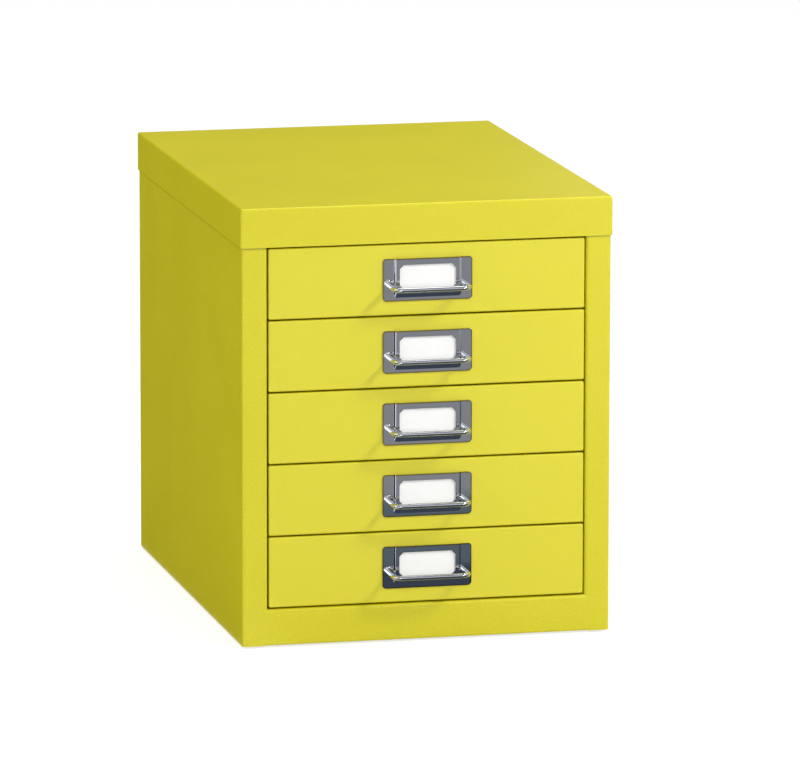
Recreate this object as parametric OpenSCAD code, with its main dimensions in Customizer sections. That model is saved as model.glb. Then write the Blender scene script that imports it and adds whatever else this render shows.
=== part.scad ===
// Desktop drawer cabinet in folded, welded and painted sheet steel.
// Five shallow drawers hang by the turned-out edges of their trays in folded runners.
// X runs across the front, the drawers open towards -Y, and Z is up.
// The origin is on the ground, halfway between the pulls' front and the back.

/* [Cabinet] */
// Width across the top cap
width = 279; // [255:1:320]
// Depth from the cap's front face to its back face
depth = 380; // [370:1:440]
// Height of the steel case without its feet
height = 325; // [300:1:370]

/* [Sheet steel] */
// Thickness of the case's sheets
case_sheet = 0.8; // [0.6:0.1:1]
// Thickness of the drawers' sheets
drawer_sheet = 0.7; // [0.6:0.1:0.9]
// Inner radius of the folds that nobody sees
fold_r = 0.8; // [0.5:0.1:1.2]
// Inner radius of the case's outer corner folds
corner_r = 0.8; // [0.5:0.1:1.4]
// Inner radius of the soft folds round the drawer opening
opening_r = 1.6; // [0.8:0.1:2.4]
// Inner radius of the cap's edges
cap_r = 0.8; // [0.4:0.1:1.2]
// Inner radius of the drawer fronts' edges
front_r = 0.5; // [0.3:0.1:1.2]

/* [Top cap] */
// Height of the cap's skirt
cap_skirt = 29; // [24:0.5:36]
// Clearance between the skirt and the case inside it
cap_fit = 0.2; // [0.1:0.05:0.4]
// Play between the case's top edges and the cap's inner radius
cap_play = 0.1; // [0.05:0.05:0.3]
// How far the front skirt is turned back over the drawers
cap_return = 12; // [8:0.5:14]
// Height of the stiffening lip at the back of that return
cap_lip = 8; // [5:0.5:12]
// End clearance of the return between the stiles
cap_return_gap = 0.6; // [0.3:0.1:1.5]

/* [Front frame] */
// Width of the stile on each side of the drawers
stile = 18.8; // [17:0.2:24]
// Depth of the stile's fold into the case
stile_return = 26; // [24:0.5:34]
// Height of the rail under the bottom drawer
rail_height = 27.2; // [22:0.2:36]
// Depth of the rail's top fold
rail_return = 16; // [10:0.5:24]
// Height of the lip behind the rail's top fold
rail_lip = 7; // [5:0.5:12]
// Depth of the rail's bottom fold, under the base
rail_foot = 18; // [12:0.5:24]

/* [Back and base] */
// Width of the sides' fold round the back
back_fold = 16; // [10:0.5:24]
// Clearance between the back panel and the sides' folds
back_fit = 0.4; // [0.2:0.1:1]
// Depth of the back panel's fold under the cap
back_flange = 12; // [8:0.5:18]
// Height of the base's turned-up edges
base_flange = 14; // [10:0.5:18]
// Setback of the base's front edge behind the stiles
base_setback = 2; // [1:0.5:4]

/* [Rear posts] */
// Width of the post's flange on the side panel
post_foot = 20; // [14:0.5:26]
// Length of the post's flange on the runners
post_leg = 22; // [14:0.5:30]
// Gap between the post and the back panel
post_gap = 4; // [2:0.5:8]
// Gap between the post's end and the base's edge
post_end_gap = 0.3; // [0.2:0.1:1]

/* [Runners] */
// Inner height of the runner channel
channel = 8; // [7.4:0.1:9]
// Width of the runner's lips
runner_lip = 7; // [6:0.1:7.6]
// Overlap of the runner on the stile's fold
runner_lap = 9; // [5:0.5:10]
// Drop of the stop tab from the runner's upper lip
stop_drop = 4.2; // [3.4:0.1:4.6]
// Margin beside the stop tab
stop_margin = 1; // [0.8:0.1:1.4]

/* [Drawers] */
// Gap above and below each drawer front
front_gap = 1.3; // [1:0.1:2]
// Gap at each side of a drawer front
side_gap = 1.1; // [0.8:0.1:2]
// Depth of the drawer front
front_depth = 14; // [10:0.5:15]
// Clearance of the tray's front wall inside the drawer front
liner_fit = 0.1; // [0.05:0.05:0.3]
// Height of the tray's floor above the drawer front's lower edge
tray_rise = 4.5; // [3:0.5:8]
// Drop from the drawer front's upper edge to the tray's rim
rim_drop = 7.7; // [7:0.1:10]
// Width of the tray's turned-out rim
rim = 7; // [6.4:0.1:7.6]
// Gap between the tray's rim and the lip that it slides on
slide_gap = 0.3; // [0.2:0.05:0.6]
// Gap between the tray's rim and the runner's web
rim_gap = 0.5; // [0.3:0.1:1]
// Height of the stop ear at the rim's rear end
ear = 6.2; // [5.8:0.1:6.6]
// Inset of the ear from the tray's side
ear_inset = 1.8; // [1.4:0.1:2.4]
// Gap between the ear and a stop that it meets
stop_gap = 0.5; // [0.3:0.1:1]
// Travel of the drawer from closed to its stop
travel = 270; // [200:1:275]

/* [Card holder] */
// Width of the plate
plate_w = 67.2; // [66:0.2:80]
// Height of the plate
plate_h = 31.6; // [30.4:0.2:34]
// Corner radius of the plate
plate_r = 2.2; // [1:0.1:4]
// Thickness of the plate
plate_t = 0.8; // [0.6:0.1:1]
// Width of the pressed pocket
pocket_w = 50.6; // [50:0.2:52]
// Depth of the pocket behind its face
pocket_rise = 1.3; // [1:0.1:2]
// Run of the slope at the pocket's sides
pocket_slope = 1; // [0.6:0.1:1.4]
// Run of the slope along the pocket's bottom
pocket_lip = 3.3; // [2:0.1:3.6]
// Radius of the pocket's lower corners
pocket_r = 3; // [2:0.1:5]
// Height of the flange left below the pocket
pocket_low = 2.7; // [2:0.1:3.2]
// Width of the window
window_w = 42.3; // [36:0.1:43]
// Height of the window
window_h = 18.1; // [14:0.1:18.6]
// Flange left above the window
window_low = 4.7; // [4:0.1:6]
// Corner cut of the window
window_cut = 3; // [1:0.1:5]
// Width of the label card
card_w = 46; // [44:0.2:46.4]
// Thickness of the label card
card_t = 0.35; // [0.2:0.05:0.5]
// Play of the card in its pocket
card_play = 0.3; // [0.15:0.05:0.5]

/* [Pull] */
// Diameter of the pull's rod
rod_d = 3.7; // [3:0.1:4.4]
// Reach of the grip's centre line from the plate
pull_reach = 17.8; // [14:0.1:26]
// Distance between the pull's feet
pull_feet = 56.4; // [56:0.1:60]
// Bend radius of the rod's centre line
pull_bend = 6; // [3:0.1:9]
// Drop of the pull below the plate's middle
pull_low = 4.7; // [0:0.1:7]
// Diameter of the spigot through the sheets
spigot_d = 2.6; // [2:0.1:2.8]
// Clearance round the spigot
spigot_fit = 0.1; // [0.05:0.05:0.2]
// Diameter of the riveted head
head_d = 4.4; // [3.6:0.1:5.6]
// Height of the riveted head
head_h = 0.9; // [0.6:0.1:1.6]
// Diameter of the washer under the head
washer_d = 7; // [6:0.1:9]
// Thickness of the washer
washer_t = 0.8; // [0.5:0.1:1.2]

/* [Feet] */
// Diameter of a foot
foot_d = 18; // [12:0.5:24]
// Height of the foot below the case
foot_proud = 1.5; // [1:0.1:4]
// Chamfer round the foot's sole
foot_chamfer = 0.8; // [0.3:0.1:0.9]
// Distance of the feet from the case's sides
foot_inset_x = 24; // [16:1:40]
// Distance of the feet from the case's front and back
foot_inset_y = 34; // [30:1:60]
// Diameter of the foot's stem
stem_d = 7.6; // [5:0.1:9]
// Clearance of the stem in the base
stem_fit = 0.15; // [0.1:0.05:0.3]
// Width of the barb that holds the stem
barb = 0.6; // [0.4:0.1:1]
// Height of the barb
barb_h = 3; // [2:0.1:5]

/* [Hidden] */
$fn = 48;
drawers = 5;
hands = ["left", "right"];
ends = ["front", "rear"];

paint = [0.87, 0.83, 0.25];
runner_paint = [0.78, 0.74, 0.24];
chrome = [0.72, 0.73, 0.76];
zinc = [0.6, 0.6, 0.62];
paper = [0.96, 0.96, 0.94];
foot_plastic = [0.16, 0.16, 0.17];
cut = 1;                                      // how far a cutter runs past what it cuts

// Places in the case's own frame: X from the middle, Y from the cap's front face,
// Z from the case's lower edge
case_set = case_sheet + cap_fit;
case_half = width / 2 - case_set;
case_front = case_set;
case_back = depth - case_set;
cap_corner = max(cap_r - cap_fit, 0);
case_top = height - case_sheet - cap_play - cap_r + sqrt(pow(cap_r, 2) - pow(cap_corner, 2));
open_half = case_half - stile;
fold_out = fold_r + case_sheet;
corner_out = corner_r + case_sheet;
opening_out = opening_r + case_sheet;
seam = open_half + opening_out;               // the weld between rail and stile
base_z = case_sheet;                          // underside of the base, on the rail's foot
back_in = case_back - 2 * case_sheet;         // inner face of the back panel

post_back = back_in - post_gap;
post_web = post_back - post_foot;             // front face of the post's web
runner_front = case_front + stile_return - runner_lap;
runner_back = post_web - fold_r;

front_w = 2 * (open_half - side_gap);
front_h = (height - cap_skirt - rail_height - (drawers + 1) * front_gap) / drawers;
pitch = front_h + front_gap;
front_out = front_r + drawer_sheet;
tray_out = fold_r + drawer_sheet;
tray_h = front_h - tray_rise - rim_drop;
tray_half = open_half - case_sheet - rim_gap - rim;
tray_front = case_front + front_depth;
tray_back = runner_back - case_sheet - stop_gap;
stop_back = tray_back - drawer_sheet - travel - stop_gap;   // rear face of the runner's stop tab

foot_half = pull_feet / 2;
spigot_root = rod_d / 2;                      // start of the spigot inside the rod

// Where the case's frame lies in the part's frame
pull_front = pull_reach + rod_d / 2 + plate_t - case_front;
case_y = (pull_front - depth) / 2;
case_z = foot_proud;

// Height of the lower edge of drawer front k, counted from the top drawer down
function front_z(k) = rail_height + front_gap + (drawers - k) * pitch;

// Height of the underside of a tray's rim
function rim_z(k) = front_z(k) + tray_rise + tray_h - drawer_sheet;

// ---- Sheet metal ----

module in_case() {
    translate([0, case_y, case_z]) children();
}

// A piece for either hand is drawn for the right
module hand(side) {
    mirror([side == "left" ? 1 : 0, 0, 0]) children();
}

// Extrudes a profile drawn in Y and Z along X, centred
module across(length) {
    translate([-length / 2, 0, 0]) rotate([90, 0, 90]) linear_extrude(length) children();
}

// Extrudes a profile drawn in X and Z from one Y to another
module from_to(y0, y1) {
    translate([0, y1, 0]) rotate([90, 0, 0]) linear_extrude(y1 - y0) children();
}

// Arc of a fold from radius r0 to r1, turning left from the X axis by angle a
module fold_arc(r0, r1, a) {
    reach = 1.5 * r1;
    intersection() {
        difference() {
            circle(r1);
            circle(r0);
        }
        polygon([[0, 0], [reach, 0], [reach, reach * tan(a / 2)], [reach * cos(a), reach * sin(a)]]);
    }
}

// Edge view of a folded strip. A leg is [flat run, turn to the left, inner radius],
// and the thickness lies to the left of the way that the strip runs.
module folded(legs, t, i = 0) {
    run = legs[i][0];
    turn = legs[i][1];
    r = legs[i][2];
    if (run > 0) square([run, t]);
    if (turn > 0) translate([run, t + r]) {
        rotate(-90) fold_arc(r, r + t, turn);
        rotate(turn) translate([0, -t - r]) folded(legs, t, i + 1);
    }
    if (turn < 0) translate([run, -r]) {
        rotate(90 + turn) fold_arc(r, r + t, -turn);
        rotate(turn) translate([0, r]) folded(legs, t, i + 1);
    }
}

module rounded_rect(w, h, r) {
    square([w - 2 * r, h], center = true);
    square([w, h - 2 * r], center = true);
    for (x = [-1, 1], y = [-1, 1])
        translate([x * (w / 2 - r), y * (h / 2 - r)]) circle(r);
}

// Block on the XY plane with its upright and upper edges rounded
module eased_block(w, d, h, r) {
    x_in = w / 2 - r;
    y_in = d / 2 - r;
    linear_extrude(h - r) rounded_rect(w, d, r);
    translate([-x_in, -y_in, 0]) cube([2 * x_in, 2 * y_in, h]);
    for (x = [-x_in, x_in])
        translate([x, y_in, h - r]) rotate([90, 0, 0]) cylinder(h = 2 * y_in, r = r);
    for (y = [-y_in, y_in])
        translate([-x_in, y, h - r]) rotate([0, 90, 0]) cylinder(h = 2 * x_in, r = r);
    for (x = [-x_in, x_in], y = [-y_in, y_in])
        translate([x, y, h - r]) sphere(r);
}

// Shallow pressed pan, open below, of one sheet thickness
module pan(w, d, h, t, r) {
    difference() {
        eased_block(w, d, h, r + t);
        translate([0, 0, -cut]) eased_block(w - 2 * t, d - 2 * t, h - t + cut, r);
    }
}

// ---- Case ----

module top_cap() {
    color(paint) in_case() {
        translate([0, depth / 2, height - cap_skirt]) pan(width, depth, cap_skirt, case_sheet, cap_r);
        translate([0, case_sheet, height - cap_skirt])
            across(2 * (open_half - cap_return_gap))
                folded([[cap_return - fold_out, 90, fold_r], [cap_lip - fold_out, 0, 0]], case_sheet);
    }
}

// Front view of the rail, mitred into the stiles' soft folds at its upper corners
module rail_face() {
    polygon([[-seam, -cut], [seam, -cut], [seam, rail_height - opening_out], [open_half, rail_height],
             [-open_half, rail_height], [-seam, rail_height - opening_out]]);
}

module side(which) {
    color(paint) in_case() hand(which) difference() {
        linear_extrude(case_top) translate([case_half - back_fold, case_back - case_sheet])
            folded([[back_fold - corner_out, -90, corner_r],
                    [case_back - case_front - 2 * corner_out, -90, corner_r],
                    [stile - corner_out - opening_out, -90, opening_r],
                    [stile_return - opening_out, 0, 0]], case_sheet);
        from_to(case_front - cut, case_front + stile_return + cut) rail_face();
    }
}

module front_rail() {
    color(paint) in_case() intersection() {
        translate([0, case_front + rail_foot, case_sheet]) across(2 * seam)
            rotate(180) folded([[rail_foot - fold_out, -90, fold_r],
                                [rail_height - fold_out - opening_out, -90, opening_r],
                                [rail_return - opening_out - fold_out, -90, fold_r],
                                [rail_lip - fold_out, 0, 0]], case_sheet);
        from_to(case_front - cut, case_front + rail_foot + cut) rail_face();
    }
}

module back_panel() {
    half = case_half - corner_out - back_fit;
    color(paint) in_case()
        translate([0, back_in + case_sheet, base_z + case_sheet + back_fit]) across(2 * half)
            rotate(90) folded([[case_top - base_z - case_sheet - back_fit - fold_out, 90, fold_r],
                               [back_flange - fold_out, 0, 0]], case_sheet);
}

module base_pan() {
    half = case_half - case_sheet;
    base_front = case_front + case_sheet + base_setback;
    color(paint) in_case() difference() {
        union() {
            from_to(base_front, back_in - fold_out)
                translate([-half, base_z + base_flange])
                    rotate(-90) folded([[base_flange - fold_out, 90, fold_r],
                                        [2 * (half - fold_out), 90, fold_r],
                                        [base_flange - fold_out, 0, 0]], case_sheet);
            translate([0, back_in - fold_out, base_z]) across(2 * (half - fold_out))
                folded([[0, 90, fold_r], [base_flange - fold_out, 0, 0]], case_sheet);
        }
        at_feet() cylinder(h = 4 * case_sheet, d = stem_d + 2 * stem_fit);
    }
}

module at_feet() {
    for (end = ends) for (side = hands) at_foot(end, side) children();
}

module at_foot(end, side) {
    x = case_half - foot_inset_x;
    y = end == "front" ? case_front + foot_inset_y : case_back - foot_inset_y;
    translate([side == "left" ? -x : x, y, 0]) children();
}

module foot(end, side) {
    stem_r = stem_d / 2;
    top = base_z + case_sheet + slide_gap;
    color(foot_plastic) in_case() at_foot(end, side)
        rotate_extrude() polygon([[0, -foot_proud], [foot_d / 2 - foot_chamfer, -foot_proud],
                                  [foot_d / 2, foot_chamfer - foot_proud], [foot_d / 2, base_z],
                                  [stem_r, base_z], [stem_r, top], [stem_r + barb, top],
                                  [stem_r - barb, top + barb_h], [0, top + barb_h]]);
}

module rear_post(which) {
    z0 = base_z + base_flange + post_end_gap;
    color(paint) in_case() hand(which)
        translate([case_half - 2 * case_sheet, post_back, z0]) linear_extrude(case_top - z0)
            rotate(-90) folded([[post_foot - fold_out, -90, fold_r],
                                [stile - 3 * case_sheet - 2 * fold_r, 90, fold_r],
                                [post_leg - fold_r, 0, 0]], case_sheet);
}

// Channel that holds one edge of a tray, with a lanced stop tab and a closed rear end
module runner(which, k) {
    lip_z = rim_z(k) - slide_gap;             // the face that the tray slides on
    upper_z = lip_z + channel;
    inner_x = open_half - runner_lip;
    tab_w = runner_lip - fold_out - stop_margin;
    color(runner_paint) in_case() hand(which) {
        difference() {
            from_to(runner_front, runner_back) translate([inner_x, lip_z - case_sheet])
                folded([[runner_lip - fold_out, 90, fold_r],
                        [channel + 2 * case_sheet - 2 * fold_out, 90, fold_r],
                        [runner_lip - fold_out, 0, 0]], case_sheet);
            translate([inner_x + stop_margin, stop_back, upper_z - cut])
                cube([tab_w, stop_drop, case_sheet + 2 * cut]);
        }
        translate([inner_x + stop_margin, stop_back - case_sheet, upper_z - stop_drop])
            cube([tab_w, case_sheet, stop_drop + case_sheet]);
        translate([inner_x, runner_back - case_sheet, lip_z])
            cube([runner_lip - case_sheet, case_sheet, channel]);
    }
}

// ---- Drawers ----

module drawer_tray(k) {
    floor_z = front_z(k) + tray_rise;
    wall = tray_h - tray_out - drawer_sheet - fold_r;
    liner_gap = 2 * (drawer_sheet + liner_fit);
    bend_back = tray_back - tray_out;
    color(paint) in_case() {
        // floor, sides and turned-out rims in one fold
        from_to(tray_front, bend_back)
            translate([-tray_half - rim, rim_z(k)]) rim_to_rim(wall);
        // rear wall, and the sides' ends that it is welded to
        translate([0, bend_back, floor_z]) across(2 * (tray_half - tray_out))
            folded([[0, 90, fold_r], [tray_h - tray_out, 0, 0]], drawer_sheet);
        from_to(bend_back, tray_back) tray_ends(k);
        translate([-tray_half, tray_back - drawer_sheet, floor_z + tray_out])
            cube([2 * tray_half, drawer_sheet, tray_h - tray_out]);
        // front wall, which closes the back of the drawer front
        translate([0, tray_front, front_z(k) + front_h / 2]) rotate([90, 0, 0])
            linear_extrude(drawer_sheet)
                rounded_rect(front_w - liner_gap, front_h - liner_gap, front_r);
        // stop ears
        for (side = hands) hand(side)
            translate([tray_half + ear_inset, tray_back - drawer_sheet, rim_z(k)])
                cube([rim - ear_inset, drawer_sheet, ear]);
    }
}

// Section of the tray from rim to rim
module rim_to_rim(wall) {
    folded([[rim - fold_r, -90, fold_r], [wall, 90, fold_r], [2 * (tray_half - tray_out), 90, fold_r],
            [wall, -90, fold_r], [rim - fold_r, 0, 0]], drawer_sheet);
}

// The tray's section above its floor fold, for the ends of the sides
module tray_ends(k) {
    floor_z = front_z(k) + tray_rise;
    wall = tray_h - tray_out - drawer_sheet - fold_r;
    difference() {
        translate([-tray_half - rim, rim_z(k)]) rim_to_rim(wall);
        translate([-tray_half, floor_z - cut]) square([2 * tray_half, tray_out + cut]);
    }
}

module at_pull_feet(k) {
    for (x = [-foot_half, foot_half])
        translate([x, case_front, front_z(k) + front_h / 2 - pull_low]) rotate([-90, 0, 0]) children();
}

module spigot_holes(k) {
    at_pull_feet(k) translate([0, 0, -plate_t - cut])
        cylinder(h = plate_t + drawer_sheet + 2 * cut, d = spigot_d + 2 * spigot_fit);
}

module drawer_front(k) {
    color(paint) in_case() difference() {
        translate([0, tray_front, front_z(k) + front_h / 2]) rotate([90, 0, 0])
            pan(front_w, front_h, front_depth, drawer_sheet, front_r);
        spigot_holes(k);
    }
}

// Faces the children forward from the middle of a drawer front: X across, Y up, Z forward
module on_front(k) {
    translate([0, case_front, front_z(k) + front_h / 2]) rotate([90, 0, 0]) children();
}

// Solid of the pressed pocket, inset by a wall and as high as rise. It runs out at the top.
module pocket(inset, top, rise) {
    half = pocket_w / 2 - inset;
    low = pocket_low - plate_h / 2 + inset;
    high = plate_h / 2;
    r = pocket_r - inset;
    intersection() {
        linear_extrude(top) union() {
            translate([-half, low + r]) square([2 * half, high - low - r + inset * cut]);
            translate([r - half, low]) square([2 * (half - r), high - low]);
            for (x = [r - half, half - r]) translate([x, low + r]) circle(r);
        }
        translate([0, high + cut, 0]) rotate([90, 0, 0]) linear_extrude(plate_h + 2 * cut)
            polygon([[-half, 0], [half, 0], [half, top - rise], [half - pocket_slope, top],
                     [pocket_slope - half, top], [-half, top - rise]]);
        across(pocket_w) polygon([[low, 0], [high + cut, 0], [high + cut, top], [low + pocket_lip, top],
                                  [low, top - rise]]);
    }
}

module window() {
    x = window_w / 2;
    high = plate_h / 2 - window_low;
    low = high - window_h;
    c = window_cut;
    polygon([[c - x, low], [x - c, low], [x, low + c], [x, high - c], [x - c, high],
             [c - x, high], [-x, high - c], [-x, low + c]]);
}

module card_holder(k) {
    front = plate_t + pocket_rise;
    color(chrome) in_case() difference() {
        on_front(k) difference() {
            union() {
                linear_extrude(plate_t) rounded_rect(plate_w, plate_h, plate_r);
                pocket(0, front, pocket_rise);
            }
            translate([0, 0, -cut]) pocket(plate_t, pocket_rise + cut, pocket_rise);
            linear_extrude(front + cut) window();
        }
        spigot_holes(k);
    }
}

module label_card(k) {
    low = pocket_low - plate_h / 2 + plate_t + pocket_lip + card_play;
    high = plate_h / 2 - card_play;
    color(paper) in_case() on_front(k)
        translate([-card_w / 2, low, pocket_rise - card_play - card_t])
            cube([card_w, high - low, card_t]);
}

// Rod bent into a flat D, with its ends riveted behind the drawer front
module pull(k) {
    grip_half = foot_half - pull_bend;
    color(chrome) in_case() {
        translate([0, case_front - plate_t, front_z(k) + front_h / 2 - pull_low]) {
            translate([-grip_half, -pull_reach, 0]) rotate([0, 90, 0])
                cylinder(h = 2 * grip_half, d = rod_d);
            for (side = hands) hand(side) {
                translate([foot_half, 0, 0]) rotate([90, 0, 0])
                    cylinder(h = pull_reach - pull_bend, d = rod_d);
                translate([grip_half, pull_bend - pull_reach, 0]) rotate([0, 0, -90])
                    rotate_extrude(angle = 90) translate([pull_bend, 0]) circle(d = rod_d);
            }
        }
        at_pull_feet(k) {
            translate([0, 0, -plate_t - spigot_root])
                cylinder(h = spigot_root + plate_t + drawer_sheet + washer_t, d = spigot_d);
            translate([0, 0, drawer_sheet + washer_t])
                cylinder(h = head_h, d1 = head_d, d2 = spigot_d);
        }
    }
}

module pull_washers(k) {
    color(zinc) in_case() at_pull_feet(k) translate([0, 0, drawer_sheet]) difference() {
        cylinder(h = washer_t, d = washer_d);
        translate([0, 0, -cut]) cylinder(h = washer_t + 2 * cut, d = spigot_d + 2 * spigot_fit);
    }
}

top_cap();
back_panel();
base_pan();
front_rail();
for (hand = hands) {
    side(hand);
    rear_post(hand);
    for (k = [1 : drawers])
        runner(hand, k);
    for (end = ends)
        foot(end, hand);
}
for (k = [1 : drawers]) {
    drawer_tray(k);
    drawer_front(k);
    card_holder(k);
    pull(k);
    pull_washers(k);
    label_card(k);
}
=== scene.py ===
import bpy, bmesh, math
from mathutils import Matrix, Vector


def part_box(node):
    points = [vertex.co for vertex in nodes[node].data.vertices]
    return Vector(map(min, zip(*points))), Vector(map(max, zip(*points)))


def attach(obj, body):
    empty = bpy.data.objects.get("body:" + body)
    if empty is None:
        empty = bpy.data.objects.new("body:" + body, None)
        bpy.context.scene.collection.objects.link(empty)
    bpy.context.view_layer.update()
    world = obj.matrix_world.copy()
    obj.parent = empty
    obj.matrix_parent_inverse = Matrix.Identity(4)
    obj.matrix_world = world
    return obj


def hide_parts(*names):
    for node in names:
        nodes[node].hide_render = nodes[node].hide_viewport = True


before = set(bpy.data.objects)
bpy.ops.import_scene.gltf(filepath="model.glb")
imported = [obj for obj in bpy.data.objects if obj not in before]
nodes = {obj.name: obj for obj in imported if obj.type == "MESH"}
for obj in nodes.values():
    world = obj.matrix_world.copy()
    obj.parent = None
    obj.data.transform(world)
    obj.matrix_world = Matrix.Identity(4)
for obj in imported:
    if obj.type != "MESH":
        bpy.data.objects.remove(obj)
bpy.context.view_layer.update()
mm = 0.001


# ---- Case: cap, sides, back, base, rail and rear posts ----
# Cold-rolled steel sheet, folded and spot-welded, then powder-coated in one yellow and baked.
# The coat is satin, with a fine orange peel from the powder's flow. Under the cap's skirt a darker
# line of painted shade is added to it.

def linear(code):
    """Linear colour of an sRGB hex value."""
    parts = [int(code[i:i + 2], 16) / 255 for i in (1, 3, 5)]
    return [c / 12.92 if c <= 0.04045 else ((c + 0.055) / 1.055) ** 2.4 for c in parts] + [1]


def add_node(tree, kind, settings={}, links={}):
    """Adds a shader node, sets its values and links its inputs."""
    node = tree.nodes.new("ShaderNode" + kind)
    for name, value in settings.items():
        if isinstance(name, int) or name in node.inputs:
            node.inputs[name].default_value = value
        else:
            setattr(node, name, value)
    for name, source in links.items():
        tree.links.new(source, node.inputs[name])
    return node


def new_material(name):
    """An empty material with its tree and its surface socket."""
    material = bpy.data.materials.new(name)
    material.use_nodes = True
    material.node_tree.nodes.clear()
    output = add_node(material.node_tree, "OutputMaterial")
    return material, material.node_tree, output.inputs["Surface"]


def powder_coat(name, colour, deep, gloss, peel):
    """Satin powder coat: its colour drifts by a hair, and orange peel breaks up its shine."""
    drift_size, grain_size, peel_size = 70 * mm, 1.6 * mm, 2.6 * mm
    shine_drift = 0.015
    material, tree, surface = new_material(name)
    place = add_node(tree, "TexCoord").outputs["Object"]
    cloud = add_node(tree, "TexNoise", {"Scale": 1 / drift_size, "Detail": 2.0}, {"Vector": place})
    grain = add_node(tree, "TexNoise", {"Scale": 1 / grain_size, "Detail": 1.0}, {"Vector": place})
    speck = add_node(tree, "Math", {"operation": "MULTIPLY_ADD", 1: 0.35},
                     {0: cloud.outputs[0], 2: grain.outputs[0]})
    tone = add_node(tree, "MapRange", {"From Min": 0.35, "From Max": 1.0,
                                       "To Min": 0.0, "To Max": 1.0}, {"Value": speck.outputs[0]})
    paint = add_node(tree, "Mix", {"data_type": "RGBA", 6: linear(deep), 7: linear(colour)},
                     {0: tone.outputs[0]})
    shine = add_node(tree, "MapRange", {"From Min": 0.3, "From Max": 0.7,
                                        "To Min": gloss - shine_drift, "To Max": gloss + shine_drift},
                     {"Value": cloud.outputs[0]})
    swell = add_node(tree, "TexNoise", {"Scale": 1 / peel_size, "Detail": 1.5}, {"Vector": place})
    bump = add_node(tree, "Bump", {"Strength": peel, "Distance": 0.05 * mm},
                    {"Height": swell.outputs[0]})
    coat = add_node(tree, "BsdfPrincipled", {"IOR": 1.5},
                    {"Base Color": paint.outputs[2], "Roughness": shine.outputs[0],
                     "Normal": bump.outputs[0]})
    tree.links.new(coat.outputs[0], surface)
    return material, tree, place, coat


def dress(names, material):
    """Gives CAD nodes their finish."""
    for name in names:
        nodes[name].data.materials.clear()
        nodes[name].data.materials.append(material)


dress(["top_cap"], powder_coat("powder_coated_steel_cap", "#DBD119", "#D5CB13", 0.36, 0.3)[0])

# Under the cap's skirt a darker line is painted into the case coat: a painted shadow where the
# skirt shades the sides and stiles. Its width wanders.
case_coat, tree, place, coat = powder_coat("powder_coated_steel_case", "#DED41B", "#D2C811", 0.36, 0.3)
skirt_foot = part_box("top_cap")[0].z
shade_band_fade = 1.2 * mm
shade_band_wander = 2 * mm
wander_size = 40 * mm
height = add_node(tree, "SeparateXYZ", links={0: place}).outputs["Z"]
wander = add_node(tree, "TexNoise", {"Scale": 1 / wander_size, "Detail": 1.0}, {"Vector": place})
height = add_node(tree, "Math", {"operation": "MULTIPLY_ADD", 1: shade_band_wander},
                  {0: wander.outputs[0], 2: height})
painted_shade_band = add_node(tree, "MapRange", {"From Min": skirt_foot - shade_band_fade, "From Max": skirt_foot,
                                   "To Min": 0.0, "To Max": 1.0}, {"Value": height.outputs[0]})
paint = coat.inputs["Base Color"].links[0].from_socket
# painted shadow under the cap's skirt: the case colour darkens to this tone inside the band
tone = add_node(tree, "Mix", {"data_type": "RGBA", 7: linear("#BDB41C")}, {0: painted_shade_band.outputs[0], 6: paint})
tree.links.new(tone.outputs[2], coat.inputs["Base Color"])
dress(["side_left", "side_right", "back_panel", "base_pan", "front_rail",
       "rear_post_left", "rear_post_right"], case_coat)


# ---- Runners ----
# Ten folded channels, welded between the stiles' folds and the rear posts and coated with the
# case. The sliding edges polish the coat, so it shines a little more.

runner_coat = powder_coat("powder_coated_steel_runner", "#D6CB24", "#CFC420", 0.30, 0.35)[0]
dress([f"runner_{hand}_{k}" for hand in ("left", "right") for k in range(1, 6)], runner_coat)


# ---- Feet ----
# Four black polyethylene studs, moulded and pressed through the base until their barbs snap.
# The moulded skin is matt, with a fine spark-eroded grain.

spark_size = 0.5 * mm
scuff_size = 6 * mm
foot_skin, tree, surface = new_material("moulded_polyethylene_black")
place = add_node(tree, "TexCoord").outputs["Object"]
spark = add_node(tree, "TexNoise", {"Scale": 1 / spark_size, "Detail": 2.0}, {"Vector": place})
scuff = add_node(tree, "TexNoise", {"Scale": 1 / scuff_size, "Detail": 3.0}, {"Vector": place})
shade = add_node(tree, "Mix", {"data_type": "RGBA", 6: linear("#1B1B1D"), 7: linear("#2A2A2B")},
                 {0: scuff.outputs[0]})
grain = add_node(tree, "Bump", {"Strength": 0.3, "Distance": 0.03 * mm}, {"Height": spark.outputs[0]})
skin = add_node(tree, "BsdfPrincipled", {"IOR": 1.51, "Roughness": 0.62},
                {"Base Color": shade.outputs[2], "Normal": grain.outputs[0]})
tree.links.new(skin.outputs[0], surface)
dress([f"foot_{end}_{hand}" for end in ("front", "rear") for hand in ("left", "right")], foot_skin)


# ---- Drawers ----
# Five trays of thinner sheet, each welded into a pan-shaped front. The whole drawer is coated
# at once, so its colour is the case's, and the flat front takes the smoothest coat.

drawer_coat = powder_coat("powder_coated_steel_drawer", "#E0D62E", "#DBD12A", 0.34, 0.15)[0]
dress([f"drawer_{k}_{piece}" for k in range(1, 6) for piece in ("tray", "front")], drawer_coat)


# ---- Card holders ----
# A plate pressed from steel strip, with a raised pocket that is open at the top and a window
# with cut corners. It is nickel-plated and then bright chrome-plated.
# The mesh is the front skin of the plate, which then gets the strip's thickness.

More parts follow.
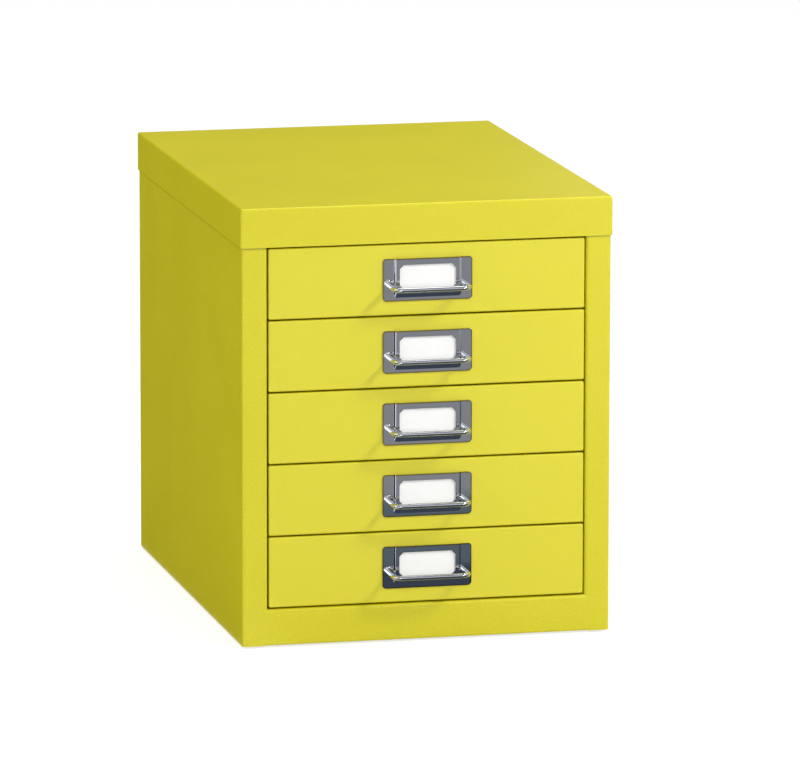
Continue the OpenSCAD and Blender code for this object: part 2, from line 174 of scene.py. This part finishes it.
def pick(kind, test):
    """Selects just the vertices, edges or faces of the edited mesh whose middles pass the test."""
    bpy.ops.mesh.select_mode(type=kind)
    bpy.ops.mesh.select_all(action="DESELECT")
    shape = bmesh.from_edit_mesh(bpy.context.object.data)
    if kind == "VERT":
        for vertex in shape.verts:
            vertex.select = test(vertex.co)
    else:
        for item in (shape.edges if kind == "EDGE" else shape.faces):
            item.select = test(sum((v.co for v in item.verts), Vector()) / len(item.verts))
    shape.select_flush_mode()
    bmesh.update_edit_mesh(bpy.context.object.data)


def finish_piece(name, material, *modifiers):
    """Applies modifiers to the active piece, names it and gives it its finish."""
    piece = bpy.context.object
    for kind, settings in modifiers:
        modifier = piece.modifiers.new(kind.lower(), kind)
        for key, value in settings.items():
            setattr(modifier, key, value)
        bpy.ops.object.modifier_apply(modifier=modifier.name)
    piece.name = piece.data.name = name
    piece.data.materials.clear()
    piece.data.materials.append(material)
    return piece


def fit_to_drawers(piece, name):
    """Copies the top drawer's piece to the others. Each stands for its CAD node and rides with
    its drawer."""
    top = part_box(f"drawer_1_{name}")[0]
    for k in range(5, 0, -1):
        copy = piece
        if k > 1:
            bpy.ops.object.select_all(action="DESELECT")
            piece.select_set(True)
            bpy.context.view_layer.objects.active = piece
            bpy.ops.object.duplicate(linked=False)
            copy = bpy.context.object
            bpy.ops.transform.translate(value=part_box(f"drawer_{k}_{name}")[0] - top)
            bpy.ops.object.transform_apply(location=True, rotation=False, scale=False)
        copy.name = copy.data.name = f"{name}_{k}"
        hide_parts(f"drawer_{k}_{name}")
        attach(copy, f"drawer_{k}")


def bright_chrome(name):
    """Chrome over nickel: a clear, slightly blue mirror with a faint ripple and polishing haze."""
    ripple_size, haze_size = 7 * mm, 2.5 * mm
    material, tree, surface = new_material(name)
    place = add_node(tree, "TexCoord").outputs["Object"]
    ripple = add_node(tree, "TexNoise", {"Scale": 1 / ripple_size, "Detail": 1.0}, {"Vector": place})
    haze = add_node(tree, "TexNoise", {"Scale": 1 / haze_size, "Detail": 4.0}, {"Vector": place})
    polish = add_node(tree, "MapRange", {"From Min": 0.3, "From Max": 0.75,
                                         "To Min": 0.04, "To Max": 0.09}, {"Value": haze.outputs[0]})
    bump = add_node(tree, "Bump", {"Strength": 0.25, "Distance": 0.06 * mm},
                    {"Height": ripple.outputs[0]})
    plating = add_node(tree, "BsdfPrincipled", {"Base Color": linear("#C6C8CF"), "Metallic": 1.0},
                       {"Roughness": polish.outputs[0], "Normal": bump.outputs[0]})
    tree.links.new(plating.outputs[0], surface)
    return material, tree, place, plating


plate_low, plate_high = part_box("drawer_1_card_holder")
plate_t = 0.8 * mm
plate_half = plate_high.x
plate_mid = (plate_low.z + plate_high.z) / 2
plate_r = 2.4 * mm
pocket_front = plate_low.y
flange_front = plate_high.y - plate_t
pocket_half = 25.3 * mm
pocket_slope = 1.0 * mm
pocket_foot = plate_low.z + 2.7 * mm
pocket_lip = 3.3 * mm
face_half = pocket_half - pocket_slope
face_low = pocket_foot + pocket_lip
face_height = plate_high.z - face_low
face_corner_r = 2.2 * mm
press_r = 0.7 * mm
crease_r = 0.15 * mm
rim_r = 0.2 * mm
window_edge_r = 0.25 * mm
rim_shade_band = (1.2 * mm, 0.4 * mm)
hair = 0.01 * mm

# A dull olive-brass band is painted along the sheared rim: painted shade and a painted reflection
# of the yellow front at the plate's edge. The rim is found by the distance from the rounded outline,
# on every plate of the column.
plate_chrome, tree, place, plating = bright_chrome("bright_chrome_plate")
pitch = plate_low.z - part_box("drawer_2_card_holder")[0].z
axes = add_node(tree, "SeparateXYZ", links={0: place}).outputs
level = add_node(tree, "Math", {"operation": "SUBTRACT", 1: plate_mid}, {0: axes["Z"]})
level = add_node(tree, "Math", {"operation": "WRAP", 1: pitch / 2, 2: -pitch / 2}, {0: level.outputs[0]})
beyond = []
for value, half in ((axes["X"], plate_half), (level.outputs[0], plate_high.z - plate_mid)):
    size = add_node(tree, "Math", {"operation": "ABSOLUTE"}, {0: value})
    size = add_node(tree, "Math", {"operation": "SUBTRACT", 1: half - plate_r}, {0: size.outputs[0]})
    beyond.append(add_node(tree, "Math", {"operation": "MAXIMUM", 1: 0.0}, {0: size.outputs[0]}))
beyond = add_node(tree, "CombineXYZ", links={0: beyond[0].outputs[0], 1: beyond[1].outputs[0]})
beyond = add_node(tree, "VectorMath", {"operation": "LENGTH"}, {0: beyond.outputs[0]})
painted_rim_shade = add_node(tree, "MapRange", {"From Min": plate_r - rim_shade_band[0], "From Max": plate_r - rim_shade_band[1],
                                   "To Min": 0.0, "To Max": 1.0}, {"Value": beyond.outputs["Value"]})
# painted shade and painted reflection of the yellow front along the plate's rim
tone = add_node(tree, "Mix", {"data_type": "RGBA", 6: linear("#C6C8CF"), 7: linear("#A3964C")},
                {0: painted_rim_shade.outputs[0]})
tree.links.new(tone.outputs[2], plating.inputs["Base Color"])

# the pocket's flat face, with its lower corners rounded
bpy.ops.object.select_all(action="DESELECT")
bpy.ops.mesh.primitive_plane_add(size=1, rotation=(math.radians(90), 0, 0),
                                 location=(0, pocket_front, face_low + face_height / 2))
bpy.ops.transform.resize(value=(2 * face_half, 1, face_height))
bpy.ops.object.transform_apply(location=True, rotation=True, scale=True)
bpy.ops.object.mode_set(mode="EDIT")
pick("VERT", lambda p: p.z < face_low + mm)
bpy.ops.mesh.bevel(offset=face_corner_r, segments=6, affect="VERTICES")

# the pocket's walls, then the flange round it
pick("EDGE", lambda p: p.z < plate_high.z - 0.1 * mm)
bpy.ops.mesh.extrude_region_move(TRANSFORM_OT_translate={"value": (0, flange_front - pocket_front, 0)})
bpy.ops.transform.resize(value=(pocket_half / face_half, 1, 1 + pocket_lip / face_height),
                         center_override=(0, flange_front, plate_high.z))
bpy.ops.mesh.extrude_region_move(TRANSFORM_OT_translate={"value": (0, 0, 0)})
bpy.ops.transform.resize(value=(plate_half / pocket_half, 1,
                                (plate_high.z - plate_low.z) / (plate_high.z - pocket_foot)),
                         center_override=(0, flange_front, plate_high.z))
pick("VERT", lambda p: p.z > plate_high.z - 0.1 * mm and abs(p.x) > plate_half - 0.1 * mm)
bpy.ops.mesh.bevel(offset=plate_r, segments=6, affect="VERTICES")

# the pressing tool's radius round the face
pick("EDGE", lambda p: abs(p.y - pocket_front) < hair and p.z < plate_high.z - 0.1 * mm)
bpy.ops.mesh.bevel(offset=press_r, segments=6, affect="EDGES")

# the window, cut out of the face
window_half = 21.15 * mm
window_high = plate_high.z - 4.7 * mm
window_low = window_high - 18.1 * mm
window_cut = 3.0 * mm
for spot, way in (((window_half, 0, 0), (1, 0, 0)), ((-window_half, 0, 0), (1, 0, 0)),
                  ((0, 0, window_low), (0, 0, 1)), ((0, 0, window_high), (0, 0, 1))):
    pick("FACE", lambda p: abs(p.y - pocket_front) < hair)
    bpy.ops.mesh.bisect(plane_co=spot, plane_no=way)
for x in (-1, 1):
    for z, edge in ((-1, window_low), (1, window_high)):
        pick("FACE", lambda p: abs(p.y - pocket_front) < hair and abs(p.x) < window_half
             and window_low < p.z < window_high)
        bpy.ops.mesh.bisect(plane_co=(x * (window_half - window_cut / 2), 0, edge - z * window_cut / 2),
                            plane_no=(x, 0, z))
pick("FACE", lambda p: abs(p.y - pocket_front) < hair and window_low < p.z < window_high
     and abs(p.x) < window_half - window_cut)
bpy.ops.mesh.delete(type="FACE")
bpy.ops.mesh.select_all(action="SELECT")
bpy.ops.mesh.remove_doubles(threshold=0.001 * mm)
bpy.ops.object.mode_set(mode="OBJECT")
plate = finish_piece("card_holder_1", plate_chrome,
                     ("BEVEL", {"width": crease_r, "segments": 2, "limit_method": "ANGLE",
                                "angle_limit": math.radians(20)}),
                     ("SOLIDIFY", {"thickness": plate_t, "offset": -1.0, "use_even_offset": True}))

# the rolled-over outer edge, then the window's edges
bpy.ops.object.mode_set(mode="EDIT")
pick("EDGE", lambda p: abs(p.y - flange_front) < hair and (
     max(abs(p.x) - plate_half, abs(p.z - plate_mid) - plate_high.z + plate_mid) > -0.05 * mm
     or min(abs(p.x) - plate_half, abs(p.z - plate_mid) - plate_high.z + plate_mid) > -plate_r))
bpy.ops.mesh.bevel(offset=rim_r, segments=3, affect="EDGES")
bpy.ops.object.mode_set(mode="OBJECT")
plate = finish_piece("card_holder_1", plate_chrome,
                     ("BEVEL", {"width": window_edge_r, "segments": 3, "limit_method": "ANGLE",
                                "angle_limit": math.radians(60)}),
                     ("WEIGHTED_NORMAL", {"weight": 100, "keep_sharp": False}))
fit_to_drawers(plate, "card_holder")


# ---- Label cards ----
# Blank white index card, cut to size and slid in behind the window.
# Uncoated board is matt, with faint fibre clouds and a soft tooth.

fibre_size = 0.9 * mm
cloud_size = 9 * mm
card_board, tree, surface = new_material("index_card_white")
place = add_node(tree, "TexCoord").outputs["Object"]
fibre = add_node(tree, "TexNoise", {"Scale": 1 / fibre_size, "Detail": 4.0}, {"Vector": place})
cloud = add_node(tree, "TexNoise", {"Scale": 1 / cloud_size, "Detail": 2.0}, {"Vector": place})
board = add_node(tree, "Mix", {"data_type": "RGBA", 6: linear("#F7F7F6"), 7: linear("#FCFCFC")},
                 {0: cloud.outputs[0]})
tooth = add_node(tree, "Bump", {"Strength": 0.2, "Distance": 0.02 * mm}, {"Height": fibre.outputs[0]})
paper = add_node(tree, "BsdfPrincipled", {"IOR": 1.5, "Roughness": 0.85},
                 {"Base Color": board.outputs[2], "Normal": tooth.outputs[0]})
tree.links.new(paper.outputs[0], surface)
dress([f"drawer_{k}_label_card" for k in range(1, 6)], card_board)


# ---- Pulls ----
# A flat D of drawn steel rod, bent cold and chrome-plated like its plate. Its ends are turned
# down to spigots, pass through plate and front, and are riveted over washers.
# One half is swept from a ring and mirrored.

rod_r = 1.85 * mm
spigot_r = 1.3 * mm
bend_r = 6.0 * mm
rivet_r = 2.2 * mm
rivet_height = 0.9 * mm
rivet_shoulder = 0.4 * mm
pull_low, pull_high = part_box("drawer_1_pull")
foot = Vector((28.2 * mm, flange_front, (pull_low.z + pull_high.z) / 2))
corner = Vector((foot.x, pull_low.y + rod_r, foot.z))


def sweep_bend(tip, old, new, radius, steps):
    """Spins the selected ring, which stands at tip and faces old, until it faces new."""
    angle = old.angle(new)
    axis = old.cross(new).normalized()
    centre = tip + radius * axis.cross(old)
    bpy.ops.mesh.spin(steps=steps, angle=angle, center=centre, axis=-axis)
    return centre + Matrix.Rotation(angle, 3, axis) @ (tip - centre)


def sweep_to(tip, end):
    """Extrudes the selected ring from tip straight on to end."""
    bpy.ops.mesh.extrude_region_move(TRANSFORM_OT_translate={"value": end - tip})
    return end


along = Vector((1, 0, 0))
back = Vector((0, 1, 0))
bpy.ops.object.select_all(action="DESELECT")
bpy.ops.mesh.primitive_circle_add(vertices=32, radius=rod_r, location=(0, corner.y, corner.z),
                                  rotation=(0, math.radians(90), 0))
bpy.ops.object.transform_apply(location=True, rotation=True, scale=True)
bpy.ops.object.mode_set(mode="EDIT")
pick("VERT", lambda p: True)
tip = sweep_to(Vector((0, corner.y, corner.z)), corner - bend_r * along)
tip = sweep_bend(tip, along, back, bend_r, 14)
sweep_to(tip, foot)
bpy.ops.mesh.extrude_region_move(TRANSFORM_OT_translate={"value": (0, 0, 0)})
bpy.ops.transform.resize(value=(spigot_r / rod_r, 1, spigot_r / rod_r), center_override=foot)
head = Vector((foot.x, pull_high.y - rivet_height, foot.z))
sweep_to(foot, head)
bpy.ops.mesh.extrude_region_move(TRANSFORM_OT_translate={"value": (0, 0, 0)})
bpy.ops.transform.resize(value=(rivet_r / spigot_r, 1, rivet_r / spigot_r), center_override=head)
bpy.ops.mesh.extrude_region_move(TRANSFORM_OT_translate={"value": (0, rivet_shoulder, 0)})
bpy.ops.transform.resize(value=(0.85, 1, 0.85), center_override=head)
bpy.ops.mesh.extrude_region_move(TRANSFORM_OT_translate={
    "value": (0, rivet_height - rivet_shoulder, 0)})
bpy.ops.transform.resize(value=(0.5, 1, 0.5), center_override=head)
bpy.ops.mesh.edge_face_add()
bpy.ops.object.mode_set(mode="OBJECT")
pull = finish_piece("pull_1", bright_chrome("bright_chrome_rod")[0],
                    ("MIRROR", {"use_axis": (True, False, False), "use_mirror_merge": True,
                                "merge_threshold": 0.01 * mm}))
bpy.ops.object.mode_set(mode="EDIT")
bpy.ops.mesh.select_all(action="SELECT")
bpy.ops.mesh.remove_doubles(threshold=0.001 * mm)
bpy.ops.mesh.normals_make_consistent(inside=False)
bpy.ops.object.mode_set(mode="OBJECT")
bpy.ops.object.shade_smooth_by_angle(angle=math.radians(45))
fit_to_drawers(pull, "pull")


# ---- Washers ----
# Two plain washers under the riveted ends of each pull, hidden in the hollow front.
# Zinc plate dulls to a soft grey with a faint bloom.

bloom_size = 1.5 * mm
zinc, tree, surface = new_material("zinc_plated_washer")
place = add_node(tree, "TexCoord").outputs["Object"]
bloom = add_node(tree, "TexNoise", {"Scale": 1 / bloom_size, "Detail": 3.0}, {"Vector": place})
dull = add_node(tree, "MapRange", {"From Min": 0.3, "From Max": 0.7, "To Min": 0.3, "To Max": 0.48},
                {"Value": bloom.outputs[0]})
coat = add_node(tree, "BsdfPrincipled", {"Base Color": linear("#B9BCC0"), "Metallic": 1.0},
                {"Roughness": dull.outputs[0]})
tree.links.new(coat.outputs[0], surface)
dress([f"drawer_{k}_pull_washers" for k in range(1, 6)], zinc)


# ---- Studio ----
# A pale floor that runs out to white, a white surround, seven softboxes and a long lens.
# Grey cards, which only mirror-like surfaces see, give the chrome its tone.

sky = bpy.data.worlds.new("white_surround")
bpy.context.scene.world = sky
sky.use_nodes = True
sky.node_tree.nodes.clear()
tree = sky.node_tree
ray = add_node(tree, "LightPath").outputs
seen = add_node(tree, "Math", {"operation": "ADD"}, {0: ray["Is Camera Ray"], 1: ray["Is Glossy Ray"]})
seen = add_node(tree, "Math", {"operation": "ADD", "use_clamp": True},
                {0: seen.outputs[0], 1: ray["Is Transmission Ray"]})
level = add_node(tree, "MapRange", {"To Min": 0.50, "To Max": 1.0}, {"Value": seen.outputs[0]})
glow = add_node(tree, "Background", {"Color": (1, 1, 1, 1)}, {"Strength": level.outputs[0]})
output = add_node(tree, "OutputWorld", links={"Surface": glow.outputs[0]})

floor_paper, tree, surface = new_material("studio_floor_white")
ray = add_node(tree, "LightPath").outputs
seen = add_node(tree, "Math", {"operation": "ADD"}, {0: ray["Is Camera Ray"], 1: ray["Is Glossy Ray"]})
seen = add_node(tree, "Math", {"operation": "ADD", "use_clamp": True},
                {0: seen.outputs[0], 1: ray["Is Transmission Ray"]})
matt = add_node(tree, "BsdfDiffuse", {"Color": (0.8, 0.8, 0.8, 1)})
pale = add_node(tree, "BsdfDiffuse", {"Color": (0.5, 0.5, 0.5, 1)})
lift = add_node(tree, "Emission", {"Color": (1, 1, 1, 1), "Strength": 0.72})
shown = add_node(tree, "AddShader", links={0: pale.outputs[0], 1: lift.outputs[0]})
top = add_node(tree, "MixShader", links={0: seen.outputs[0], 1: matt.outputs[0], 2: shown.outputs[0]})
under = add_node(tree, "BsdfTransparent")
side = add_node(tree, "NewGeometry").outputs["Backfacing"]
both = add_node(tree, "MixShader", links={0: side, 1: top.outputs[0], 2: under.outputs[0]})
tree.links.new(both.outputs[0], surface)
bpy.ops.object.select_all(action="DESELECT")
bpy.ops.mesh.primitive_plane_add(size=24, location=(0, 0, -0.0002))
bpy.ops.object.transform_apply(location=True, rotation=True, scale=True)
floor = finish_piece("studio_floor", floor_paper)


def grey_card(name, spot, size, turn, tone):
    """A grey card that only mirror-like surfaces see."""
    card, tree, surface = new_material(name)
    glow = add_node(tree, "Emission", {"Color": linear(tone), "Strength": 1.0})
    tree.links.new(glow.outputs[0], surface)
    bpy.ops.object.select_all(action="DESELECT")
    bpy.ops.mesh.primitive_plane_add(size=1, location=spot, rotation=[math.radians(a) for a in turn])
    bpy.ops.transform.resize(value=size)
    bpy.ops.object.transform_apply(location=True, rotation=True, scale=True)
    piece = finish_piece(name, card)
    piece.visible_camera = piece.visible_diffuse = False
    piece.visible_shadow = piece.visible_transmission = False


grey_card("card_near_floor", (2.2, -0.31, 0.001), (4.6, 0.26, 1), (0, 0, 0), "#48505E")
grey_card("card_mid_floor", (2.2, -0.57, 0.001), (4.6, 0.26, 1), (0, 0, 0), "#69757C")
grey_card("card_far_floor", (0.45, -3.905, 0.001), (1.1, 6.41, 1), (0, 0, 0), "#A2A2A4")
grey_card("card_far_right_floor", (2.75, -3.905, 0.001), (3.5, 6.41, 1), (0, 0, 0), "#F4F4F4")
grey_card("card_side_floor", (-2.1, 0.16, 0.001), (3.92, 0.72, 1), (0, 0, 0), "#0A0A0A")
grey_card("card_left_floor", (-0.943, -0.345, 0.0012), (1.5, 0.6, 1), (0, 0, 28), "#23262C")
grey_card("card_back_floor", (0, 1.0, 0.001), (8, 1.0, 1), (0, 0, 0), "#101010")
grey_card("card_back_left", (-2.05, 1.5, 1.5), (3.9, 1, 3), (90, 0, 0), "#0A0A0A")
grey_card("card_back_right", (0.2, 1.5, 1.5), (0.6, 1, 3), (90, 0, 0), "#606060")
grey_card("card_back_far_right", (2.25, 1.5, 1.5), (3.5, 1, 3), (90, 0, 0), "#9A9A9A")
grey_card("card_left", (-4, -2.8, 1.5), (1, 8.6, 3), (0, 90, 0), "#303030")
grey_card("card_right", (4, -2.8, 1.5), (1, 8.6, 3), (0, 90, 0), "#E0E0E0")
grey_card("card_front", (0, -7.1, 1.5), (8, 1, 3), (90, 0, 0), "#FFFFFF")
grey_card("card_above", (0, -2.8, 3.0), (8, 8.6, 1), (0, 0, 0), "#A0A0A4")
grey_card("card_bounce", (-2.2, -2.4, 0.8), (0.8, 1, 1.4), (90, 0, 0), "#FFFFFF")


def softbox(name, spot, target, size, factor):
    """A square softbox that lights a face turned to it by the given share of its colour."""
    lamp = bpy.data.lights.new(name, "AREA")
    lamp.shape = "SQUARE"
    lamp.size = size
    way = Vector(target) - Vector(spot)
    lamp.energy = factor * math.pi ** 2 * way.length ** 2
    piece = bpy.data.objects.new(name, lamp)
    piece.matrix_world = Matrix.Translation(spot) @ way.to_track_quat("-Z", "Y").to_matrix().to_4x4()
    bpy.context.scene.collection.objects.link(piece)


middle = (0, -0.1, 0.16)
softbox("key_softbox", (0.97, -0.95, 1.25), middle, 0.25, 0.44)
softbox("right_softbox", (1.35, -2.85, 0.40), middle, 0.5, 0.09)
softbox("front_left_softbox", (-0.75, -3.0, 0.68), middle, 0.7, 0.03)
softbox("low_left_softbox", (-0.95, -3.0, 0.25), middle, 0.35, 0.02)
softbox("high_left_softbox", (-1.35, -0.75, 1.65), middle, 0.2, 0.02)
softbox("left_softbox", (-2.6, -0.6, 1.0), middle, 2.0, 0.26)
softbox("overhead_softbox", (0.15, 0.15, 2.1), middle, 1.2, 0.345)

# The camera stands 6 m away to the left, a little above the cabinet, and looks slightly down.
stand = (-1.3396, -5.7934, 1.2614)
swing, dip, roll = math.radians(-13.223), math.radians(90 - 10.548), math.radians(0.087)
lens = bpy.data.cameras.new("long_lens")
lens.sensor_width = 36
lens.lens = 360.9
lens.clip_start, lens.clip_end = 0.1, 60
camera = bpy.data.objects.new("long_lens", lens)
camera.matrix_world = (Matrix.Translation(stand) @ Matrix.Rotation(swing, 4, "Z")
                       @ Matrix.Rotation(dip, 4, "X") @ Matrix.Rotation(roll, 4, "Z"))
bpy.context.scene.collection.objects.link(camera)
bpy.context.scene.camera = camera
bpy.context.scene.view_settings.view_transform = "Standard"
